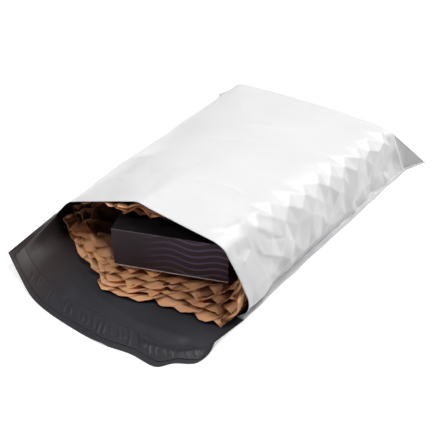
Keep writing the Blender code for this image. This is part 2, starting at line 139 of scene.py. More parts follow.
# %% Grid helpers
def lay_grid(name, points, flip=True):
    """A grid primitive with its points laid at points, an array of rows. flip turns its faces over."""
    rows, columns = points.shape[:2]
    bpy.ops.object.select_all(action="DESELECT")
    bpy.ops.mesh.primitive_grid_add(x_subdivisions=columns - 1, y_subdivisions=rows - 1, size=1.0)
    laid = bpy.context.object
    laid.name = laid.data.name = name
    placed = points.reshape(-1, 3) + (0, LIP_Y, 0)
    laid.data.vertices.foreach_set("co", placed.astype(np.float32).ravel())
    if flip:
        laid.data.flip_normals()
    laid.data.update()
    bpy.ops.object.shade_smooth()
    return laid


def mark(piece, name, values):
    """Keeps one number for each point of the piece, which a material can read back by name."""
    kept = piece.data.attributes.new(name, "FLOAT", "POINT")
    kept.data.foreach_set("value", values.ravel().astype(np.float32))


def thicken(piece, thickness, offset=-1.0, inside=0):
    """Gives a sheet its thickness. The inner side takes the material that is inside places down the list."""
    solid = piece.modifiers.new("thickness", "SOLIDIFY")
    solid.thickness = thickness
    solid.offset = offset
    solid.material_offset = inside
    bpy.context.view_layer.objects.active = piece
    bpy.ops.object.modifier_apply(modifier=solid.name)
    print(piece.name, len(piece.data.polygons), "faces")


# %% [markdown]
# ## Creases
#
# Film and paper don't bend softly in two directions at once: they break into flat facets with sharp folds. We
# scatter nodes, join them into triangles, and find for each point of a fine grid the triangle that it lies in.
# Whatever the nodes hold, such as a height, is then straight across each triangle and folded at its edges.

# %% Facets
class Facets:
    """Triangles over scattered 2-D nodes, and where each of many points lies in them."""

    def __init__(self, nodes, points):
        made = delaunay_2d_cdt([Vector(node) for node in nodes], [], [], 0, 1e-9)
        corners, triangles, origin = made[0], made[2], made[3]
        tree = BVHTree.FromPolygons([(x, y, 0.0) for x, y in corners], triangles)
        flat = np.array([corner[:] for corner in corners])
        hits = [tree.find_nearest((x, y, 0.0)) for x, y in points]
        self.corner = np.array([triangles[hit[2]] for hit in hits])
        self.origin = np.array([first[0] for first in origin])
        at = np.array([hit[0][:2] for hit in hits])
        a, b, c = (flat[self.corner[:, k]] for k in range(3))
        area = self.cross(b - a, c - a)
        second = self.cross(at - a, c - a) / area
        third = self.cross(b - a, at - a) / area
        self.weight = np.column_stack([1 - second - third, second, third])

    @staticmethod
    def cross(a, b):
        return a[:, 0] * b[:, 1] - a[:, 1] * b[:, 0]

    def spread(self, held):
        """What the nodes hold, straight across each triangle."""
        held = np.asarray(held, float)
        corner = held[self.origin][self.corner]
        weight = self.weight.reshape(self.weight.shape + (1,) * (held.ndim - 1))
        return (corner * weight).sum(axis=1)


def scatter(low, high, step_x, step_y, jitter, random):
    """Nodes in staggered rows over a rectangle, each moved by up to jitter of a step."""
    columns = int((high[0] - low[0]) / step_x) + 3
    rows = int((high[1] - low[1]) / step_y) + 3
    i, j = np.meshgrid(np.arange(columns) - 1.0, np.arange(rows) - 1.0)
    i = i + 0.5 * (j % 2)
    shift = random.uniform(-jitter, jitter, (2, rows, columns))
    x = low[0] + (i + shift[0]) * step_x
    y = low[1] + (j + shift[1]) * step_y
    return np.column_stack([x.ravel(), y.ravel()])


# %% [markdown]
# ## The bag's sections
#
# The bag is a flat tube of film round what it holds, so its shape is a row of sections. Each section is the
# front panel's outline from the right seam over the top to the left seam, and the back panel's outline under
# it. They follow the CAD model's sections, at more points, with the left ear lifted a little more.

# %% Film sizes
FILM = 0.0003
FILM_WIDTH = 0.260
WELD = 0.008
FLAP = 0.084
BODY_Y = 0.075
SHOULDER_Y = 0.267
FOLD_Y = 0.300
EAR_Y = 0.311
LEFT_EAR_Y = 0.301
HALF_BASE = 0.1035
MOUTH_HEIGHT = 0.0716
BODY_HEIGHT = 0.0680
TAIL_HEIGHT = 0.0535
LEFT_SEAM = 0.020
LEFT_SEAM_TAIL = 0.014
RIGHT_SEAM = (0.0992, 0.1033, 0.1148)
RIGHT_FIN = (0.0065, 0.0058, 0.0036)
EAR_LIFT = 0.0110
TAIL_BULGE = 0.004
FRONT_SPANS = (66, 88, 22)
BACK_SPANS = 110
MOUTH_FRONT = ([(1.05, 0.15), (1.06, 0.30), (1.01, 0.45), (0.955, 0.60), (0.885, 0.75), (0.83, 0.86)],
               [(0.75, 0.905), (0.50, 0.936), (0.14, 0.98), (0.03, 1.0), (-0.115, 0.93), (-0.245, 0.855),
                (-0.74, 0.565)],
               [(-0.80, 0.50)])
BODY_FRONT = ([(1.04, 0.26), (1.0, 0.55), (0.85, 0.83)],
              [(0.48, 0.96), (0, 1.0), (-0.42, 0.92), (-0.745, 0.67)],
              [(-0.89, 0.48)])
TAIL_FRONT = ([(1.05, 0.30), (1.05, 0.60), (1.01, 0.88)],
              [(0.48, 0.98), (0, 1.0), (-0.40, 0.98), (-0.79, 0.92)],
              [(-0.92, 0.60)])
MOUTH_LEFT_SEAM = 0.93
BODY_LEFT_SEAM = 0.965
TAIL_LEFT_SEAM = 1.0
BACK_CORNER = [(0.98, 0.45), (0.885, 0.06), (0.76, 0.0)]


# %% Sections
class Section:
    """The film in one plane across the bag: both outlines, and where each seam is and how its fin points."""

    def __init__(self, front, back, left, left_fin, right_width, left_width=WELD):
        self.front, self.back = front, back
        self.right_width, self.left_width = right_width, left_width
        self.right = np.array([front[0][0], FILM])
        self.right_fin = np.array([1.0, 0.0])
        self.left = np.array(left)
        self.left_fin = np.array(left_fin) / np.linalg.norm(left_fin)

    def towards(self, other, share):
        return Section(mix(self.front, other.front, share), mix(self.back, other.back, share),
                       mix(self.left, other.left, share), mix(self.left_fin, other.left_fin, share),
                       mix(self.right_width, other.right_width, share))


def front_side(fin):
    """The direction across a fin, from its middle to the front panel's side."""
    return clockwise(np.array([fin]))[0] * math.copysign(1.0, -fin[0])


def under_side(left, right_seam):
    """The back panel's outline, from the left seam down to the floor and along it to the right seam."""
    low = [(left[0] * x, left[1] * z) for x, z in BACK_CORNER]
    back = through([left] + low + [(0, 0), (right_seam / 2, 0), (right_seam, 0)], spans=[BACK_SPANS])
    back[:, 1] = np.maximum(back[:, 1], 0)
    return back


def make_section(shape, height, station, left_seam, left_height, left_fin):
    """A section from an outline in shares. station is 0 at the lip, 1 in the body and 2 at the shoulder."""
    right_seam = RIGHT_SEAM[station]
    left = np.array([-left_seam * HALF_BASE, left_height])
    fin = np.array(left_fin) / np.linalg.norm(left_fin)
    across = front_side(fin) * FILM
    wall, top, other_wall = [[(x * HALF_BASE, z * height) for x, z in stretch] for stretch in shape]
    front = through([(right_seam, 2 * FILM)] + wall, top, other_wall + [left + across], spans=FRONT_SPANS)
    return Section(front, under_side(left - across, right_seam), left, fin, RIGHT_FIN[station])


CREASE_END = 0.39
FOLD_WELD = 0.0015


def tail_section(share):
    """A section between the shoulder at 0 and the fold at 1, where the front panel comes down."""
    root = FILM_WIDTH / 2 - FOLD_WELD
    seam = np.interp(share, (0, CREASE_END, 1), (RIGHT_SEAM[-1], RIGHT_SEAM[-1] + 0.0012, root))
    right, left = [mix(np.array(edge) * (HALF_BASE, TAIL_HEIGHT), np.array([sign * root, 2 * FILM]), share)
                   for sign, edge in ((1, TAIL_FRONT[0][-1]), (-1, TAIL_FRONT[1][-1]))]
    top = mix(2 * FILM, TAIL_HEIGHT, 1 - share ** 1.5)
    bulge = TAIL_BULGE * (1 - share)
    seam_end = np.array([-mix(TAIL_LEFT_SEAM * HALF_BASE, root, share), mix(LEFT_SEAM_TAIL, FILM, share)])
    wall = [(mix(seam, right[0], 0.5) + bulge, right[1] * 0.55), right]
    over = [(right[0] * 0.5, mix(right[1], top, 0.9)), (0, top), (left[0] * 0.5, mix(left[1], top, 0.9)), left]
    other_wall = [mix(left, seam_end, 0.5) + (-bulge, 0), seam_end + (0, FILM)]
    front = through([(seam, 2 * FILM)] + wall, over, other_wall, spans=FRONT_SPANS)
    under = under_side(seam_end - (0, FILM), seam)
    widths = [mix(width, FOLD_WELD, share) for width in (RIGHT_FIN[-1], WELD)]
    return Section(front, under, seam_end, (-1.0, 0.0), *widths)


def fold_section():
    """The last section: both panels flat on each other at the fold."""
    root = FILM_WIDTH / 2 - FOLD_WELD
    front = through([(root, 2 * FILM), (root - WELD, 2 * FILM)], [(0, 2 * FILM), (WELD - root, 2 * FILM)],
                    [(-root, 2 * FILM)], spans=FRONT_SPANS)
    back = through([(-root, 0), (0, 0), (root, 0)], spans=[BACK_SPANS])
    return Section(front, back, (-root, FILM), (-1.0, 0.0), FOLD_WELD, FOLD_WELD)


MOUTH = make_section(MOUTH_FRONT, MOUTH_HEIGHT, 0, MOUTH_LEFT_SEAM, LEFT_SEAM, (-0.8, -0.6))
BODY = make_section(BODY_FRONT, BODY_HEIGHT, 1, BODY_LEFT_SEAM, LEFT_SEAM, (-0.95, -0.3))
TAIL = make_section(TAIL_FRONT, TAIL_HEIGHT, 2, TAIL_LEFT_SEAM, LEFT_SEAM_TAIL, (-1.0, 0.0))


def section_at(y):
    if y < BODY_Y:
        return MOUTH.towards(BODY, max(y, 0.0) / BODY_Y)
    return BODY.towards(TAIL, (y - BODY_Y) / (SHOULDER_Y - BODY_Y))


# %% Skins
FIN_SHARES = (1.0, 0.72, 0.45, 0.22, 0.13, 0.04)
FIN_BEAD = (0.0, 0.0, 0.0, 0.0, 0.0007, 0.0)
BODY_ROWS = 214
TAIL_ROWS = 36


def skin(section, y_at):
    """The front panel's and the back panel's row of points in one section, fins included."""
    def placed(points):
        points = np.atleast_2d(points)
        return np.column_stack([points[:, 0], y_at(points[:, 0]), points[:, 1]])

    right_across = front_side(section.right_fin) * FILM
    left_across = front_side(section.left_fin) * FILM
    right = [section.right + section.right_fin * section.right_width * share for share in FIN_SHARES]
    left = [section.left + section.left_fin * section.left_width * share for share in FIN_SHARES[::-1]]
    front = np.vstack([np.array(right) + right_across, section.front, np.array(left) + left_across])
    back = np.vstack([np.array(left)[::-1] - left_across, section.back, np.array(right)[::-1] - right_across])
    return placed(front), placed(back)


def film_skins():
    """The front and the back panel as grids of points, from the lip to the fold, and each row's y."""
    front, back, where = [], [], []
    for y in np.linspace(0, SHOULDER_Y, BODY_ROWS + 1):
        a, b = skin(section_at(y), lambda x, y=y: np.full(len(x), y))
        front.append(a)
        back.append(b)
        where.append(y)
    for share in np.linspace(0, 1, TAIL_ROWS + 1)[1:]:
        section = tail_section(share) if share < 1 else fold_section()
        middle = mix(SHOULDER_Y, FOLD_Y, share)
        ends = [mix(SHOULDER_Y, far, share) for far in (LEFT_EAR_Y, EAR_Y)]
        half = section.right[0] + section.right_width

        def y_at(x, middle=middle, ends=ends, half=half):
            return middle + (np.where(x < 0, *ends) - middle) * (x / half) ** 2

        pair = skin(section, y_at)
        for points in pair:
            reach = smooth((-points[:, 0] / HALF_BASE - 0.6) / 0.6)
            points[:, 2] += EAR_LIFT * share * reach
        front.append(pair[0])
        back.append(pair[1])
        where.append(middle)
    return np.array(front), np.array(back), np.array(where)


front_grid, back_grid, row_y = film_skins()
print("front panel", front_grid.shape, "back panel", back_grid.shape)

# %% [markdown]
# ## The folded ear
#
# At the far right corner the side wall ends at a sharp crease. Past it, the film is one flat triangle between
# the shoulder, the ear's tip and the table. We keep the wall's own bulge up to the crease and drop it there.

# %% Ear
fin_columns = len(FIN_SHARES)
wall = slice(fin_columns, fin_columns + FRONT_SPANS[0] + 1)


def flat_triangle(grid):
    """Lays the wall's columns past the shoulder on a flat triangle beyond the crease."""
    start = grid[BODY_ROWS, wall]
    up = np.linspace(0, 1, len(start))[:, None]
    bulge = start - mix(start[0], start[-1], up)
    for k in range(1, TAIL_ROWS + 1):
        share = k / TAIL_ROWS
        kept = np.clip(1 - share / (CREASE_END * (1 - up) + 1e-6), 0, 1)
        row = grid[BODY_ROWS + k]
        row[wall] = mix(row[wall][:1], row[wall][-1:], up) + bulge * kept


flat_triangle(front_grid)

# %% [markdown]
# ## Buckles along the right shoulder
#
# Where the bag is pushed shorter, its curved right shoulder buckles into a row of diamonds about 23 mm apart.
# Staggered nodes on the smooth surface, joined by flat triangles, give just this pattern. Nearer the weld the
# film gathers in narrower pleats.

# %% Places on the film
MEASURED_Y = 0.110
random = np.random.default_rng(4)
measured_row = int(BODY_ROWS * MEASURED_Y / SHOULDER_Y)
steps = np.linalg.norm(np.diff(front_grid[measured_row], axis=0), axis=1)
column_u = np.concatenate([[0], np.cumsum(steps)]) - steps[:fin_columns].sum()
u_grid, y_grid = np.meshgrid(column_u, row_y)
points = np.column_stack([u_grid.ravel(), y_grid.ravel()])
SHOULDER_U = column_u[fin_columns + FRONT_SPANS[0]]
print("shoulder is", round(SHOULDER_U * 1000), "mm up from the weld")


def sample(grid, u, y):
    """The grid's surface at places given by u along a row and by y, between its points."""
    column = np.interp(u, column_u, np.arange(len(column_u)))
    row = np.interp(y, row_y, np.arange(len(row_y)))
    c, r = np.minimum(column.astype(int), grid.shape[1] - 2), np.minimum(row.astype(int), grid.shape[0] - 2)
    cs, rs = (column - c)[:, None], (row - r)[:, None]
    return mix(mix(grid[r, c], grid[r, c + 1], cs), mix(grid[r + 1, c], grid[r + 1, c + 1], cs), rs)


# %% Diamonds
BUCKLE_PITCH = 0.0226
BUCKLE_STEP = 0.0198
FIRST_BUCKLE = 0.0641
BUCKLE_DEPTH = 1.1
BUCKLE_JITTER = 0.0013
SQUEEZE = (0.8, 1.0)
rows = np.arange(-7, 20)
around = np.arange(-4, 5)
i, k = np.meshgrid(around, rows)
places = np.column_stack([(SHOULDER_U - 0.002 + (i + 0.5 * (k % 2)) * BUCKLE_STEP).ravel(),
                          (FIRST_BUCKLE + k * BUCKLE_PITCH / 2).ravel()])
places += random.normal(0, BUCKLE_JITTER, places.shape)
facets = Facets(places * SQUEEZE * 1000, points * SQUEEZE * 1000)
near_shoulder = np.abs(places[:, 0] - SHOULDER_U) < 0.015
lift = random.normal(0.0002, 0.0007, len(places)) + 0.0005 * near_shoulder
nodes = sample(front_grid, places[:, 0], places[:, 1])
nodes = nodes + sample(normals(front_grid), places[:, 0], places[:, 1]) * lift[:, None]
flat = facets.spread(nodes).reshape(front_grid.shape)
window = smooth((u_grid - 0.004) / 0.012) * smooth((SHOULDER_U + 0.026 - u_grid) / 0.022)
window *= smooth((y_grid - 0.020) / 0.030) * smooth((0.266 - y_grid) / 0.018)
film = front_grid + (flat - front_grid) * (BUCKLE_DEPTH * window)[:, :, None]
print(len(places), "nodes make the diamonds")

# %% Pleats above the weld
PLEAT_LENGTH = 0.030
PLEAT_PITCH = 0.0072
PLEAT_HEIGHT = 0.0014
places = scatter((-0.02, -0.01), (0.08, SHOULDER_Y + 0.02), PLEAT_LENGTH, PLEAT_PITCH, 0.32, random)
facets = Facets(places * 1000, points * 1000)
heights = random.normal(0, PLEAT_HEIGHT, len(places))
pleats = facets.spread(heights).reshape(u_grid.shape)
pleats *= smooth((u_grid + 0.002) / 0.006) * smooth((0.036 - u_grid) / 0.024) * smooth((0.262 - y_grid) / 0.02)
film = film + normals(film) * (pleats * smooth(y_grid / 0.01))[:, :, None]
print("pleats up to", round(np.abs(pleats).max() * 1000, 1), "mm")

# %% Soft dents over the rest
DENT_WIDTH = 0.024
DENT_LENGTH = 0.030
places = scatter((-0.01, -0.01), (column_u[-1], FOLD_Y + 0.01), DENT_WIDTH, DENT_LENGTH, 0.35, random)
facets = Facets(places * 1000, points * 1000)
heights = random.normal(0, 1, len(places))
strength = mix(0.0009, 0.0004, smooth(places[:, 1] / 0.10))
dents = facets.spread(heights * strength).reshape(u_grid.shape)
edge_room = smooth((u_grid - 0.004) / 0.02) * smooth((column_u[-1] - 0.012 - u_grid) / 0.02)
edge_room *= smooth((SHOULDER_Y - y_grid) / 0.02) * smooth((y_grid + 0.004) / 0.02)
film = film + normals(film) * (dents * edge_room)[:, :, None]
print("dents up to", round(np.abs(dents * edge_room).max() * 1000, 1), "mm")

# %% [markdown]
# ## Creases at the mouth
#
# Some folds are there on the real bag by themselves: a star of creases where the shoulder meets the mouth, and
# long soft folds that run into it. Each is a line of points in millimetres, with a width and a height. The
# crease at the ear gets a fine raised edge as well.

# %% Single creases
CREASES = [
    ([(20, 60, 68), (49, 69, 65), (63, 68, 64), (74, 59, 63)], 2.6, -1.4),
    ([(36, 36, 66), (48, 43, 65), (57, 45, 64), (71, 39, 63)], 2.8, -1.3),
    ([(66, 12, 64), (75, 19, 64), (80, 33, 62), (90, 46, 55)], 2.0, 1.9),
    ([(80, 33, 62), (95, 25, 49), (97, 13, 46)], 2.6, 1.5),
    ([(80, 33, 62), (100, 33, 42), (106, 53, 30)], 2.6, 1.5),
    ([(75, 19, 64), (84, 12, 58), (92, 10, 52)], 2.5, -1.3),
    ([(78, 34, 62), (80, 45, 61), (80, 56, 62), (90, 64, 55)], 2.0, 1.5),
    ([(88, 40, 57), (97, 47, 47), (103, 66, 40)], 2.5, -1.3),
    ([(-40, 30, 58), (-10, 62, 66), (5, 90, 67)], 5.0, -0.6),
    ([(-60, 90, 50), (-20, 130, 62), (20, 150, 63)], 6.0, -0.6),
]


def distance(grid, line):
    """How far each point of the grid is from a line of points."""
    nearest = np.full(grid.shape[:2], np.inf)
    for a, b in zip(line, line[1:]):
        step = b - a
        share = np.clip(((grid - a) @ step) / (step @ step), 0, 1)
        nearest = np.minimum(nearest, np.linalg.norm(grid - a - share[:, :, None] * step, axis=2))
    return nearest


EAR_CREASE_HEIGHT = 0.0005
EAR_CREASE_WIDTH = 0.0012
raised = np.zeros(film.shape[:2])
for line, width, height in CREASES:
    away = distance(film, np.array(line) / 1000)
    raised += height / 1000 * np.exp(-away / (width / 1000))
up = np.linspace(0, 1, 9)
crease_rows = BODY_ROWS + CREASE_END * (1 - up) * TAIL_ROWS
ear_crease = front_grid[crease_rows.astype(int), (fin_columns + up * FRONT_SPANS[0]).astype(int)]
from_crease = distance(film, ear_crease)
raised += EAR_CREASE_HEIGHT * np.exp(-from_crease / EAR_CREASE_WIDTH)
film = film + normals(film) * (raised * smooth((y_grid + 0.003) / 0.008))[:, :, None]
film[:, :, 2] = np.maximum(film[:, :, 2], 2 * FILM)
print(len(CREASES), "creases and the ear's own")

# %% [markdown]
# ## Weld
#
# The side weld is a flat fin with a raised bead along its root. It isn't quite straight: we shift it sideways
# and lift its outer edge a little, by the same amounts on both panels. A vertex attribute tells the material
# how grey the film is at each point: along the welds, with a painted highlight on the bead at each fin's root,
# and as painted shade on the ear's flat triangle and on the left edge past the shoulder. A second one marks
# the ear's crease for a painted highlight.

# %% Fins, grey film, painted shade and highlights
# Across each fin: the weld's own grey, with the value of -1.2 painting a highlight along the bead at the fin's
# root.
WELD_GREY_AND_HIGHLIGHT = (1.0, 1.0, 1.0, 0.9, -1.2, 0.5)
LEFT_TAIL_PAINTED_SHADE = 0.8
EAR_PAINTED_SHADE = 0.9
# How wide the painted highlight along the ear's crease is.
CREASE_HIGHLIGHT_WIDTH = 0.0009
shift = np.interp(row_y, np.linspace(0, FOLD_Y, 17), random.normal(0, 0.0004, 17))
raise_by = np.interp(row_y, np.linspace(0, FOLD_Y, 26), random.uniform(0.0, 0.0009, 26))
calm = smooth(row_y / 0.01) * smooth((SHOULDER_Y - row_y) / 0.02)
for column, share in enumerate(FIN_SHARES):
    film[:, column, 0] += shift * calm
    film[:, column, 2] += raise_by * calm * share + FIN_BEAD[column]
    back_grid[:, -1 - column, 0] += shift * calm
    back_grid[:, -1 - column, 2] += raise_by * calm * share
front_panel = lay_grid("front_panel", film)
weld_grey_and_painted_light = np.zeros(film.shape[:2])
weld_grey_and_painted_light[:, :fin_columns] = WELD_GREY_AND_HIGHLIGHT
weld_grey_and_painted_light[:, -fin_columns:] = WELD_GREY_AND_HIGHLIGHT[::-1]
# Painted shade: the left edge past the shoulder and the ear's flat triangle are greyed as if in shade.
weld_grey_and_painted_light[BODY_ROWS + 1:, -fin_columns - FRONT_SPANS[2]:] = LEFT_TAIL_PAINTED_SHADE
beyond = np.linspace(0, 1, TAIL_ROWS + 1)[:, None] > CREASE_END * (1 - np.linspace(0, 1, FRONT_SPANS[0] + 1))
weld_grey_and_painted_light[BODY_ROWS:, wall][beyond] = EAR_PAINTED_SHADE
mark(front_panel, "weld_grey_and_painted_light", weld_grey_and_painted_light)
# The crease mark paints a white highlight along the ear's crease.
mark(front_panel, "crease", np.exp(-(from_crease / CREASE_HIGHLIGHT_WIDTH) ** 2))
print(int((weld_grey_and_painted_light > 0.5).sum()), "points are marked grey")

# %% [markdown]
# ## Back panel and flap
#
# The back panel is longer than the front one: past the lip it goes on as the sealing flap, which lies on the
# table with its left corner raised. It is one grid from the flap's end to the fold.

# %% Flap
FLAP_END = [(-0.94, 0.69, 0.60), (-0.73, 0.80, 0.25), (-0.47, 0.93, 0.05), (-0.21, 0.985, 0.0),
            (0.30, 0.996, 0.0), (0.55, 0.935, 0.0), (0.78, 0.92, 0.0), (0.86, 0.80, 0.0), (0.985, 0.69, 0.0),
            (1.02, 0.54, 0.10), (1.025, 0.47, 0.42)]
FLAP_ROWS = 60


def flap_grid(lip):
    """The flap's rows of points, from the lip outwards."""
    end = through([(x * HALF_BASE, -y * FLAP, z * LEFT_SEAM) for x, y, z in FLAP_END], spans=[160])
    steps = np.linalg.norm(np.diff(lip, axis=0), axis=1)
    shares = np.concatenate([[0], np.cumsum(steps)]) / steps.sum()
    at = np.linspace(0, 1, len(end))
    target = np.column_stack([np.interp(shares, at, column) for column in end.T])
    target[:, 2] = np.maximum(target[:, 2], 0)
    return np.array([mix(lip, target, share) for share in np.linspace(0, 1, FLAP_ROWS + 1)])


# %% Flap ridges
RIDGES = [
    ([(-40, -34, 2), (-10, -47, 0), (40, -52, 0), (76, -44, 0)], 5.5, 1.3),
    ([(-90, -28, 12), (-64, -44, 4), (-30, -57, 0)], 5.0, 0.7),
    ([(-20, -66, 0), (10, -79, 0), (34, -84, 0)], 2.5, 1.0),
    ([(60, -66, 0), (86, -58, 0), (96, -48, 0)], 3.0, 1.3),
]


flap = flap_grid(back_grid[0])
lifted = np.zeros(flap.shape[:2])
for line, width, height in RIDGES:
    away = distance(flap, np.array(line) / 1000)
    lifted += height / 1000 * np.exp(-(away / (width / 1000)) ** 2)
flap_share = np.linspace(0, 1, FLAP_ROWS + 1)[:, None]
flap[:, :, 2] = np.maximum(flap[:, :, 2] + lifted * smooth(flap_share / 0.2), 0)
BACK_ROW_STEP = 3
back = np.vstack([flap[:0:-1], back_grid[::BACK_ROW_STEP]])
back_panel = lay_grid("back_panel", back)
print("back panel with its flap", back.shape)

# %% [markdown]
# ## Release liner
#
# A crinkled strip of liner covers the adhesive near the flap's end. It stands clear of the adhesive along its
# whole width, and short slanting strokes are raised on it. Both strips follow the flap's own points, so that
# neither cuts into the film.

# %% Adhesive and liner
STRIP_FROM_END = 0.007
STRIP_WIDTH = 0.015
STRIP_ROWS = 24
STRIP_LIFT = 0.00048
LINER_MARGIN = 0.0015
LINER_WIDTH = STRIP_WIDTH + 2 * LINER_MARGIN
LINER_LIFT = 0.00056
LINER_SEAT = 0.0002
LINER_ROWS = 24
LINER_COLUMNS = 460
STROKE_PITCH = 0.0058
STROKE_WIDTH = 0.0009
STROKE_HEIGHT = 0.0009


def flap_band(near, far, rows, lift):
    """Points over the flap between two distances from the lip, lift above it."""
    raised = flap - normals(flap[::-1])[::-1] * lift
    raised = raised[:, 4:-4]
    at = np.linspace(near, far, rows) / FLAP * FLAP_ROWS
    k = np.minimum(at.astype(int), FLAP_ROWS - 1)
    return mix(raised[k], raised[k + 1], (at - k)[:, None, None])


def fine_columns(grid, count):
    """The grid again with count columns, spaced evenly along each row."""
    return np.array([even(row, count) for row in grid])


far = FLAP - STRIP_FROM_END
near = far - STRIP_WIDTH
strip = flap_band(near, far, STRIP_ROWS, STRIP_LIFT)
adhesive = lay_grid("adhesive", strip, flip=False)
cover = fine_columns(flap_band(near - LINER_MARGIN, far + LINER_MARGIN, LINER_ROWS, LINER_LIFT), LINER_COLUMNS)
length = np.linalg.norm(np.diff(cover[0], axis=0), axis=1).sum()
u_cover, v_cover = np.meshgrid(np.linspace(0, length, LINER_COLUMNS), np.linspace(0, LINER_WIDTH, LINER_ROWS))


def from_sides(room):
    """0 at the liner's long sides and 1 past room from them."""
    return smooth(v_cover / room) * smooth((LINER_WIDTH - v_cover) / room)


# %% Strokes on the liner
strokes = np.zeros(u_cover.shape)
for start in np.arange(0.022, length - 0.01, STROKE_PITCH):
    low, high = random.uniform(0.10, 0.35), random.uniform(0.65, 0.95)
    foot = start + random.uniform(-0.0015, 0.0015)
    lean = random.uniform(0.25, 0.75)
    v_part = v_cover / LINER_WIDTH
    away = np.abs(u_cover - foot - lean * (v_cover - low * STRIP_WIDTH))
    within = smooth((v_part - low) / 0.08) * smooth((high - v_part) / 0.08)
    strokes = np.maximum(strokes, random.uniform(0.3, 1.0) * within * np.exp(-(away / STROKE_WIDTH) ** 2))
strong = 0.35 + 0.65 * smooth((u_cover - 0.06) / 0.03) * smooth((0.20 - u_cover) / 0.03)
cover[:, :, 2] += LINER_SEAT * from_sides(0.0013) + STROKE_HEIGHT * strokes * strong * from_sides(0.0035)
liner = lay_grid("liner", cover, flip=False)
print("the liner's near side is", round(length * 1000), "mm long")

# %% [markdown]
# ## Kraft wrap
#
# The paper is wound about four times round the carton. In one plane it is a spiral between the film and the
# carton, and its crimps are facets: nodes alternately in and out, joined by triangles. Two attributes mark the
# crests of the crimps, and how far inside the mouth or in its left corner each point lies, for the painted
# shade in the paper's colour.

# %% Spiral
TURNS = 4.2
WRAP_END_Y = 0.250
TAIL_ANGLE = math.radians(-138)
CORE_CLEARANCE = 0.004
CORE_POWER = 10
TURN_INSET = 0.11
BACK_INSET = 0.0012
CARTON = (0.097, 0.090, 0.037)
CARTON_ANGLE = math.radians(21.2)
CARTON_CORNER = (-0.010, -0.020, 0.015)
WRAP_FRONT = [(-0.99, -0.11), (-0.82, 0.06), (-0.63, 0.19), (-0.45, 0.31), (-0.31, 0.35), (-0.09, 0.44),
              (0.08, 0.44), (0.27, 0.39), (0.43, 0.30), (0.75, 0.285), (0.96, 0.28), (1.05, 0.14)]


def carton_corner(across, along):
    """A corner of the carton's base: across its front and along its depth, each 0 or 1."""
    cos, sin = math.cos(CARTON_ANGLE), math.sin(CARTON_ANGLE)
    x = CARTON_CORNER[0] + across * CARTON[0] * cos - along * CARTON[1] * sin
    y = CARTON_CORNER[1] + across * CARTON[0] * sin + along * CARTON[1] * cos
    return x, y


def core_rows():
    """The wrap's inner outline at four places: y, then centre and half size across and in height."""
    left_back, right_back, right_front = carton_corner(0, 1), carton_corner(1, 1), carton_corner(1, 0)
    slope = (left_back[0] - CARTON_CORNER[0]) / (left_back[1] - CARTON_CORNER[1])
    left_body = CARTON_CORNER[0] + slope * (BODY_Y - CARTON_CORNER[1]) - CORE_CLEARANCE
    right = right_front[0] + CORE_CLEARANCE
    rows = [(0.0, CARTON_CORNER[0] - 0.042, right), (BODY_Y, left_body, right - CORE_CLEARANCE),
            (right_back[1] + CORE_CLEARANCE, left_back[0] - CORE_CLEARANCE, right_back[0] + CORE_CLEARANCE)]
    middle = CARTON_CORNER[2] + CARTON[2] / 2
    cores = [(y, (a + b) / 2, middle, (b - a) / 2, CARTON[2] / 2 + 0.0016) for y, a, b in rows]
    return np.array(cores + [(WRAP_END_Y, 0.0, TAIL_HEIGHT / 2, 0.050, 0.006)])


CORES = core_rows()


def core_at(y):
    return [np.interp(y, CORES[:, 0], column) for column in CORES.T[1:]]


def spiral(y, angles):
    """The wrap's middle line in the plane at y, how far apart its turns lie, and each point's share."""
    x_middle, z_middle, half_width, half_height = core_at(max(y, 0.0))
    section = section_at(max(y, 0.0))
    front_inset = mix(0.0006, 0.0045, smooth((y - 0.002) / 0.012))
    inset = [section.front - outward(section.front) * front_inset,
             section.back - outward(section.back) * BACK_INSET]
    outline = np.vstack([even(part, 400) for part in inset])
    centre = np.array([x_middle, z_middle])
    away = outline - centre
    found = np.arctan2(away[:, 1], away[:, 0])
    outer = np.interp(angles, found, np.linalg.norm(away, axis=1), period=2 * math.pi)
    cos, sin = np.cos(angles), np.sin(angles)
    powers = np.abs(cos / half_width) ** CORE_POWER + np.abs(sin / half_height) ** CORE_POWER
    inner = powers ** (-1 / CORE_POWER)
    share = (angles - TAIL_ANGLE) / (2 * math.pi * TURNS)
    gap = outer - inner
    reach = mix(outer - TURN_INSET * gap, inner + TURN_INSET * gap, share)
    line = centre + np.column_stack([cos, sin]) * reach[:, None]
    slant = np.abs(np.sum(outward(line) * np.column_stack([cos, sin]), axis=1))
    return line, gap * slant, share


WRAP_INSIDE = [(-0.105, 0.020), (-0.052, -0.006), (-0.010, -0.022), (0.080, 0.013), (0.088, 0.018),
               (0.110, 0.030)]


def front_edge(line, share):
    """The wrap's y at its front edge: far out for the outer turn, at the carton for the inner one, and farther
    in for what lies higher, most of all at the right."""
    x, z = line.T
    shares, outer = np.array(WRAP_FRONT).T
    outer = np.interp(x, shares * HALF_BASE, -outer * FLAP)
    inner = np.interp(x, *np.array(WRAP_INSIDE).T)
    back = 0.040 * (z / MOUTH_HEIGHT) ** 2 + 0.05 * smooth((x - 0.045) / 0.03) * smooth((z - 0.022) / 0.02)
    return mix(outer, inner, share ** 0.9) + back


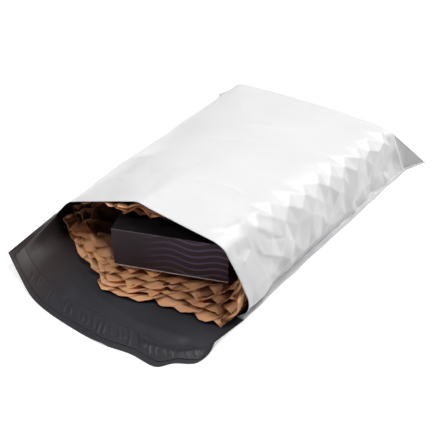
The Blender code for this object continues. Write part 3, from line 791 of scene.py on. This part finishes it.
# %% Crimped paper
COLUMNS = 1280
DEEPEST = 0.215
PAPER_FAR_X = 0.1045
PAPER_LOW_Z = 0.0008
fine = TAIL_ANGLE + np.linspace(0, 2 * math.pi * TURNS, 4000)
line, _, _ = spiral(BODY_Y, fine)
along = np.concatenate([[0], np.cumsum(np.linalg.norm(np.diff(line, axis=0), axis=1))])
print("the paper is", round(along[-1] * 1000), "mm long")
angles = np.interp(np.linspace(0, along[-1], COLUMNS), along, fine)
front_line, _, share = spiral(0.0, angles)
edge_y = front_edge(front_line, share)
depths = np.concatenate([np.linspace(0, 0.030, 23), np.linspace(0.034, 0.070, 9), np.linspace(0.09, 0.200, 4)])
planes = np.linspace(-0.04, WRAP_END_Y, 60)
stack = [spiral(y, angles) for y in planes]
lines = np.array([entry[0] for entry in stack])
pitches = np.array([entry[1] for entry in stack])
paper = np.zeros((len(depths) + 1, COLUMNS, 3))
pitch = np.zeros((len(depths) + 1, COLUMNS))
for k, depth in enumerate(list(depths) + [None]):
    y = np.full(COLUMNS, WRAP_END_Y) if depth is None else edge_y + depth
    at = np.interp(y, planes, np.arange(len(planes)))
    low = np.minimum(at.astype(int), len(planes) - 2)
    part = at - low
    column = np.arange(COLUMNS)
    place = mix(lines[low, column], lines[low + 1, column], part[:, None])
    paper[k] = np.column_stack([place[:, 0], y, place[:, 1]])
    pitch[k] = mix(pitches[low, column], pitches[low + 1, column], part)
u_paper, v_paper = np.meshgrid(np.linspace(0, along[-1], COLUMNS), [*depths, DEEPEST])

# %% Crimps
random = np.random.default_rng(11)
CRIMP_LENGTH = 0.0088
CRIMP_DEPTH = 0.0050
CRIMP_HEIGHT = 0.0046
CRIMP_SHARE = 0.14
EDGE_JAG = 0.0021
places = scatter((0, 0), (along[-1], 0.22), CRIMP_LENGTH, CRIMP_DEPTH, 0.24, random)
ridge = np.round(places[:, 0] / CRIMP_LENGTH - places[:, 1] / (2 * CRIMP_DEPTH))
signs = np.where(ridge % 2, 1.0, -1.0) * random.uniform(0.45, 1.3, len(places))
facets = Facets(places * 1000, np.column_stack([u_paper.ravel(), v_paper.ravel()]) * 1000)
wave = facets.spread(signs).reshape(u_paper.shape)
room = np.clip(pitch * CRIMP_SHARE, 0, CRIMP_HEIGHT)
room = room * (1 + 0.5 * smooth((paper[:, :, 0] - 0.055) / 0.02))
room = room * mix(0.5, 1.0, smooth(share * TURNS - 0.2))
across = normals(paper)
jags = facets.spread(random.normal(0, EDGE_JAG, len(places))).reshape(u_paper.shape)
paper[:-1, :, 1] += jags[:-1]
paper = paper + across * (wave * room)[:, :, None]
paper[:, :, 0] = np.minimum(paper[:, :, 0], PAPER_FAR_X)
paper[:, :, 2] = np.maximum(paper[:, :, 2], PAPER_LOW_Z)
wrap = lay_grid("paper_wrap", paper)
bpy.ops.object.shade_flat()

# %% Marks for the paper's painted shade
mark(wrap, "crest", np.clip((wave + 1.2) / 2.4, 0, 1))
# Painted shade: darker in the mouth's left corner and deeper inside the mouth, where little light reaches.
painted_corner_shade = smooth((-paper[:, :, 0] - 0.040) / 0.020) * smooth((paper[:, :, 2] - 0.008) / 0.014)
painted_inner_shade = np.clip((v_paper - 0.0045) / 0.007, 0, 1)
mark(wrap, "painted_inner_shade", np.maximum(painted_inner_shade, 0.85 * painted_corner_shade))
print(len(places), "crimp nodes")

# %% [markdown]
# ## Carton
#
# The carton is a closed folding box with its end towards us. A cube primitive is scaled and turned to its
# place, and its edges are bevelled as board folds, not quite sharp.

# %% Carton
bpy.ops.object.select_all(action="DESELECT")
bpy.ops.mesh.primitive_cube_add(size=1.0)
carton = bpy.context.object
carton.name = carton.data.name = "printed_carton"
carton.dimensions = CARTON
bpy.ops.object.transform_apply(location=False, rotation=False, scale=True)
x, y = carton_corner(0.5, 0.5)
carton.location = (x, y + LIP_Y, CARTON_CORNER[2] + CARTON[2] / 2)
carton.rotation_euler.z = CARTON_ANGLE
bpy.ops.object.transform_apply(location=True, rotation=True, scale=True)
edges = carton.modifiers.new("edges", "BEVEL")
edges.width = 0.0007
edges.segments = 3
bpy.ops.object.modifier_apply(modifier=edges.name)
bpy.ops.object.shade_smooth_by_angle(angle=math.radians(40))
print("carton of", CARTON, "m turned by", round(math.degrees(CARTON_ANGLE), 1), "degrees")

# %% [markdown]
# ## Materials
#
# Each finish is a Principled shader with a little procedural variation, since no real sheet is one even colour.
# Every pattern reads Object coordinates or an attribute of its piece, so it stays in place from all sides.

# %% Material helper
def finish(name, colour, roughness, **sockets):
    made = bpy.data.materials.new(name)
    made.use_nodes = True
    shader = made.node_tree.nodes["Principled BSDF"]
    shader.inputs["Base Color"].default_value = (*colour, 1.0)
    shader.inputs["Roughness"].default_value = roughness
    for socket, value in sockets.items():
        shader.inputs[socket.replace("_", " ")].default_value = value
    return made, made.node_tree, shader


def coordinates(tree):
    return tree.nodes.new("ShaderNodeTexCoord").outputs["Object"]


def noise(tree, vector, scale, detail=4.0):
    node = tree.nodes.new("ShaderNodeTexNoise")
    node.inputs["Scale"].default_value = scale
    node.inputs["Detail"].default_value = detail
    node.inputs["Roughness"].default_value = 0.55
    tree.links.new(vector, node.inputs["Vector"])
    return node.outputs["Fac"]


def ramp(tree, value, stops):
    """Colours between stops, each a position and a colour."""
    node = tree.nodes.new("ShaderNodeValToRGB")
    while len(node.color_ramp.elements) < len(stops):
        node.color_ramp.elements.new(0.5)
    for element, (position, colour) in zip(node.color_ramp.elements, stops):
        element.position = position
        element.color = (*colour, 1.0)
    tree.links.new(value, node.inputs["Fac"])
    return node.outputs["Color"]


def bump(tree, shader, height, distance, strength):
    node = tree.nodes.new("ShaderNodeBump")
    node.inputs["Strength"].default_value = strength
    node.inputs["Distance"].default_value = distance
    tree.links.new(height, node.inputs["Height"])
    tree.links.new(node.outputs["Normal"], shader.inputs["Normal"])


# %% Material nodes
def attribute(tree, name):
    node = tree.nodes.new("ShaderNodeAttribute")
    node.attribute_name = name
    return node.outputs["Fac"]


def math_node(tree, operation, first, second):
    """A maths node. Each input is a socket or a number."""
    node = tree.nodes.new("ShaderNodeMath")
    node.operation = operation
    for socket, value in zip(node.inputs, (first, second)):
        if isinstance(value, (int, float)):
            socket.default_value = value
        else:
            tree.links.new(value, socket)
    return node.outputs["Value"]


def blend(tree, share, first, second):
    """Two colours mixed by a share. Each is a socket or a colour."""
    node = tree.nodes.new("ShaderNodeMix")
    node.data_type = "RGBA"
    tree.links.new(share, node.inputs["Factor"])
    for socket, value in (("A", first), ("B", second)):
        place = [found for found in node.inputs if found.name == socket and found.type == "RGBA"][0]
        if isinstance(value, tuple):
            place.default_value = (*value, 1.0)
        else:
            tree.links.new(value, place)
    return [found for found in node.outputs if found.type == "RGBA"][0]


def axis(tree, vector, name):
    node = tree.nodes.new("ShaderNodeSeparateXYZ")
    tree.links.new(vector, node.inputs[0])
    return node.outputs[name]


# %% [markdown]
# ## Film
#
# The bag's film is white outside and nearly black inside, so each panel has two materials and Solidify gives
# the inner side the second. A weld is greyer than the film beside it. Painted shade greys the ear's flat
# triangle and the left edge past the shoulder, and painted highlights lighten the bead at each fin's root and
# the ear's crease. The dark side carries a painted brown reflection of the paper towards the bag's left.

# %% White film
FILM_PALE = (0.775, 0.775, 0.78)
PAINTED_CREASE_HIGHLIGHT = (1.0, 1.0, 1.0)
white, tree, shader = finish("white_film", (0.88, 0.88, 0.89), 0.35, Coat_Weight=0.1)
vector = coordinates(tree)
cloud = ramp(tree, noise(tree, vector, 18.0), [(0.3, FILM_PALE), (0.7, (0.81, 0.81, 0.815))])
# Near 0 the weld mark gives a painted highlight. Towards 1 it gives the weld's own grey, and the painted shade
# of the ear and the left tail edge.
weld_highlight_and_shade_colour = ramp(tree, attribute(tree, "weld_grey_and_painted_light"), [(0.0, (0.90, 0.90, 0.90)), (0.05, FILM_PALE),
                                                     (1.0, (0.57, 0.57, 0.585))])
panel_colour = blend(tree, attribute(tree, "weld_grey_and_painted_light"), cloud, weld_highlight_and_shade_colour)
# A painted highlight whitens the ear's crease.
tree.links.new(blend(tree, attribute(tree, "crease"), panel_colour, PAINTED_CREASE_HIGHLIGHT), shader.inputs["Base Color"])
bump(tree, shader, noise(tree, vector, 60.0), 0.0008, 0.25)
print("made", white.name)


# %% Dark film
def film_black(tree, vector):
    """Nearly black, with a painted brown reflection of the kraft paper towards the bag's left."""
    shade = ramp(tree, noise(tree, vector, 25.0), [(0.3, (0.026, 0.0255, 0.031)), (0.7, (0.035, 0.034, 0.041))])
    # The brown towards the left is a painted reflection of the kraft paper.
    far_left = math_node(tree, "MULTIPLY", math_node(tree, "SUBTRACT", -0.025, axis(tree, vector, "X")), 20.0)
    paper_reflection_share = math_node(tree, "MINIMUM", math_node(tree, "MAXIMUM", far_left, 0.0), 0.85)
    return blend(tree, paper_reflection_share, shade, (0.036, 0.024, 0.024))


dark, tree, shader = finish("dark_film", (0.014, 0.0135, 0.017), 0.48, Specular_IOR_Level=0.28)
vector = coordinates(tree)
tree.links.new(film_black(tree, vector), shader.inputs["Base Color"])
bump(tree, shader, noise(tree, vector, 45.0), 0.0010, 0.25)
print("made", dark.name)

# %% Adhesive and liner finishes
glue, tree, shader = finish("tacky_adhesive", (0.02, 0.02, 0.022), 0.5)
vector = coordinates(tree)
tacky = ramp(tree, noise(tree, vector, 80.0), [(0.3, (0.015, 0.015, 0.018)), (0.7, (0.025, 0.025, 0.03))])
tree.links.new(tacky, shader.inputs["Base Color"])
bump(tree, shader, noise(tree, vector, 120.0), 0.0005, 0.3)
clear, tree, shader = finish("liner_film", (0.016, 0.0155, 0.019), 0.45, Specular_IOR_Level=0.3)
vector = coordinates(tree)
tree.links.new(film_black(tree, vector), shader.inputs["Base Color"])
bump(tree, shader, noise(tree, vector, 90.0), 0.0006, 0.2)
print("made", glue.name, "and", clear.name)

# %% [markdown]
# ## Kraft paper
#
# Kraft paper is a mottled light brown. Shade is painted into its colour: the creases between crimps are darker
# than their crests, and the paper is darker still inside the mouth and in its left corner, where little light
# reaches.

# %% Kraft
kraft, tree, shader = finish("kraft_paper", (0.60, 0.33, 0.165), 0.85, Specular_IOR_Level=0.2)
vector = coordinates(tree)
pale = ramp(tree, noise(tree, vector, 40.0, 6.0), [(0.3, (0.80, 0.40, 0.19)), (0.7, (0.95, 0.52, 0.28))])
# The valleys between crimps are painted darker, as shade.
painted_valley_shade = ramp(tree, attribute(tree, "crest"), [(0.10, (1.0, 1.0, 1.0)), (0.36, (0.0, 0.0, 0.0))])
folded = blend(tree, painted_valley_shade, pale, (0.20, 0.065, 0.022))
# Deeper inside the mouth and in its left corner the paper is painted darker still, as shade.
painted_deep_shade = math_node(tree, "MULTIPLY", attribute(tree, "painted_inner_shade"), 0.88)
tree.links.new(blend(tree, painted_deep_shade, folded, (0.075, 0.026, 0.010)), shader.inputs["Base Color"])
bump(tree, shader, noise(tree, vector, 220.0), 0.0008, 0.3)
print("made", kraft.name)

# %% [markdown]
# ## Printed board
#
# The carton is dark board. Its end carries a plain print of wavy lines that fades out to the left, a pale edge
# along the bottom and a slightly lighter band along the top edge. The pattern is turned with the carton by a
# Mapping node.

# %% Carton print
WAVE_RATE = 150.0
WAVE_HEIGHT = 0.0022
WAVE_SPACING = 0.0032
WAVE_WIDTH = 0.0010
WAVE_START = 0.022
WAVE_FADE = 0.060
PALE_EDGE = 0.0014
TOP_EDGE_BAND = 0.0006
TOP_EDGE_LIGHTENING = 0.15
board, tree, shader = finish("printed_board", (0.05, 0.04, 0.047), 0.5, Specular_IOR_Level=0.06)
turned = tree.nodes.new("ShaderNodeMapping")
turned.inputs["Rotation"].default_value = (0, 0, -CARTON_ANGLE)
tree.links.new(coordinates(tree), turned.inputs["Vector"])
vector = turned.outputs["Vector"]
front_y = -CARTON_CORNER[0] * math.sin(CARTON_ANGLE) + (CARTON_CORNER[1] + LIP_Y) * math.cos(CARTON_ANGLE)
left_x = CARTON_CORNER[0] * math.cos(CARTON_ANGLE) + (CARTON_CORNER[1] + LIP_Y) * math.sin(CARTON_ANGLE)
x_part, y_part, z_part = (axis(tree, vector, name) for name in "XYZ")
on_front = math_node(tree, "LESS_THAN", y_part, front_y + 0.0004)
swell = math_node(tree, "SINE", math_node(tree, "MULTIPLY", x_part, WAVE_RATE), 0.0)
wavy = math_node(tree, "ADD", z_part, math_node(tree, "MULTIPLY", swell, WAVE_HEIGHT))
waves = math_node(tree, "LESS_THAN", math_node(tree, "PINGPONG", wavy, WAVE_SPACING), WAVE_WIDTH)
along_front = math_node(tree, "DIVIDE", math_node(tree, "SUBTRACT", x_part, left_x + WAVE_START), WAVE_FADE)
fade = math_node(tree, "MINIMUM", math_node(tree, "MAXIMUM", along_front, 0.0), 0.75)
waves = math_node(tree, "MULTIPLY", waves, fade)
print_share = math_node(tree, "MULTIPLY", waves, on_front)
ground = ramp(tree, noise(tree, vector, 20.0, 3.0),
              [(0.3, (0.068, 0.050, 0.058)), (0.7, (0.094, 0.072, 0.084))])
ground = blend(tree, on_front, (0.010, 0.0085, 0.009), ground)
printed = blend(tree, print_share, ground, (0.24, 0.16, 0.30))
pale_edge = math_node(tree, "LESS_THAN", z_part, CARTON_CORNER[2] + PALE_EDGE)
printed = blend(tree, pale_edge, printed, (1.0, 1.0, 1.0))
# A slightly lighter band along the top edge of the end.
lighter_top_edge = math_node(tree, "GREATER_THAN", z_part, CARTON_CORNER[2] + CARTON[2] - TOP_EDGE_BAND)
lighter_top_edge = math_node(tree, "MULTIPLY", math_node(tree, "MULTIPLY", lighter_top_edge, on_front), TOP_EDGE_LIGHTENING)
tree.links.new(blend(tree, lighter_top_edge, printed, (0.40, 0.38, 0.40)), shader.inputs["Base Color"])
print("made", board.name)

# %% [markdown]
# ## Finish and thickness
#
# A sheet gets its materials first and its thickness last, so that Solidify can give the new inner side the
# second material of the list. A film this thin would be a single surface otherwise, and not a closed body.

# %% Give every piece its finish and thickness
STRIP_THICKNESS = 0.0001
PAPER_THICKNESS = 0.0003
for piece, finishes in ((front_panel, (white, dark)), (back_panel, (white, dark)), (adhesive, (glue,)),
                        (liner, (clear,)), (wrap, (kraft,)), (carton, (board,))):
    for made in finishes:
        piece.data.materials.append(made)
thicken(front_panel, FILM, inside=1)
thicken(back_panel, FILM, inside=1)
thicken(adhesive, STRIP_THICKNESS, offset=0.0)
thicken(liner, STRIP_THICKNESS, offset=0.0)
thicken(wrap, PAPER_THICKNESS, offset=0.0)

# %% [markdown]
# ## Floor and light
#
# The object lies on a plain pale floor. For rays from the camera the world is white, and it is dim for all
# other rays. The floor glows for the camera and in reflections only, so the background is white and the lamps
# stay at a plain level. Near the object the floor glows less, which keeps a faint shadow.

# %% Floor
FLOOR_NEAR = 0.5
FLOOR_FAR = 2.5
FLOOR_GLOW = 0.62
bpy.ops.object.select_all(action="DESELECT")
bpy.ops.mesh.primitive_plane_add(size=12.0, location=(0, 0, -0.0002))
floor = bpy.context.object
floor.name = "floor"
made, tree, shader = finish("pale_floor", (0.62, 0.62, 0.62), 0.9, Specular_IOR_Level=0.0)
path = tree.nodes.new("ShaderNodeLightPath")
shader.inputs["Emission Color"].default_value = (1, 1, 1, 1)
seen = math_node(tree, "MAXIMUM", path.outputs["Is Camera Ray"], path.outputs["Is Glossy Ray"])
spot = tree.nodes.new("ShaderNodeVectorMath")
spot.operation = "LENGTH"
tree.links.new(coordinates(tree), spot.inputs[0])
farther = tree.nodes.new("ShaderNodeMapRange")
for socket, value in zip(farther.inputs[1:5], (FLOOR_NEAR, FLOOR_FAR, FLOOR_GLOW, 1.0)):
    socket.default_value = value
tree.links.new(spot.outputs["Value"], farther.inputs["Value"])
tree.links.new(math_node(tree, "MULTIPLY", seen, farther.outputs["Result"]), shader.inputs["Emission Strength"])
floor.data.materials.append(made)

# %% World and lamps
WORLD_LIGHT = 0.08
world = bpy.data.worlds.new("studio")
bpy.context.scene.world = world
world.use_nodes = True
tree = world.node_tree
background = tree.nodes["Background"]
background.inputs["Color"].default_value = (1, 1, 1, 1)
path = tree.nodes.new("ShaderNodeLightPath")
world_strength = math_node(tree, "MAXIMUM", path.outputs["Is Camera Ray"], WORLD_LIGHT)
tree.links.new(world_strength, background.inputs["Strength"])


def lamp(name, place, aim, size, power):
    bpy.ops.object.light_add(type="AREA", location=place)
    made = bpy.context.object
    made.name = name
    made.data.size = size
    made.data.energy = power
    made.rotation_euler = (Vector(aim) - Vector(place)).to_track_quat("-Z", "Y").to_euler()
    print("lamp", name, "of", power, "W")


lamp("key", (0.35, 0.60, 1.6), (0, 0, 0), 0.9, 10.0)
lamp("soft", (0.45, 0.68, 1.45), (0, 0, 0), 1.8, 26.0)
lamp("fill", (-0.75, -0.75, 1.10), (0, 0, 0.02), 0.25, 6.5)
bpy.context.scene.view_settings.view_transform = "Standard"

# %% [markdown]
# ## Join the model
#
# Nothing on the bag turns or slides, so every piece rides on the one body, and the CAD part that each piece
# stands for is hidden. The floor is only staging.

# %% Ride, and hide the CAD parts
for piece, node, slot in ((front_panel, "mailer_film", "mailer_film"),
                          (back_panel, "mailer_film", "mailer_film"),
                          (adhesive, "adhesive_strip", "adhesive"), (liner, "release_liner", "liner_film"),
                          (wrap, "kraft_wrap", "kraft_paper"), (carton, "carton", "carton_board")):
    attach(piece, "root")
    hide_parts(node)
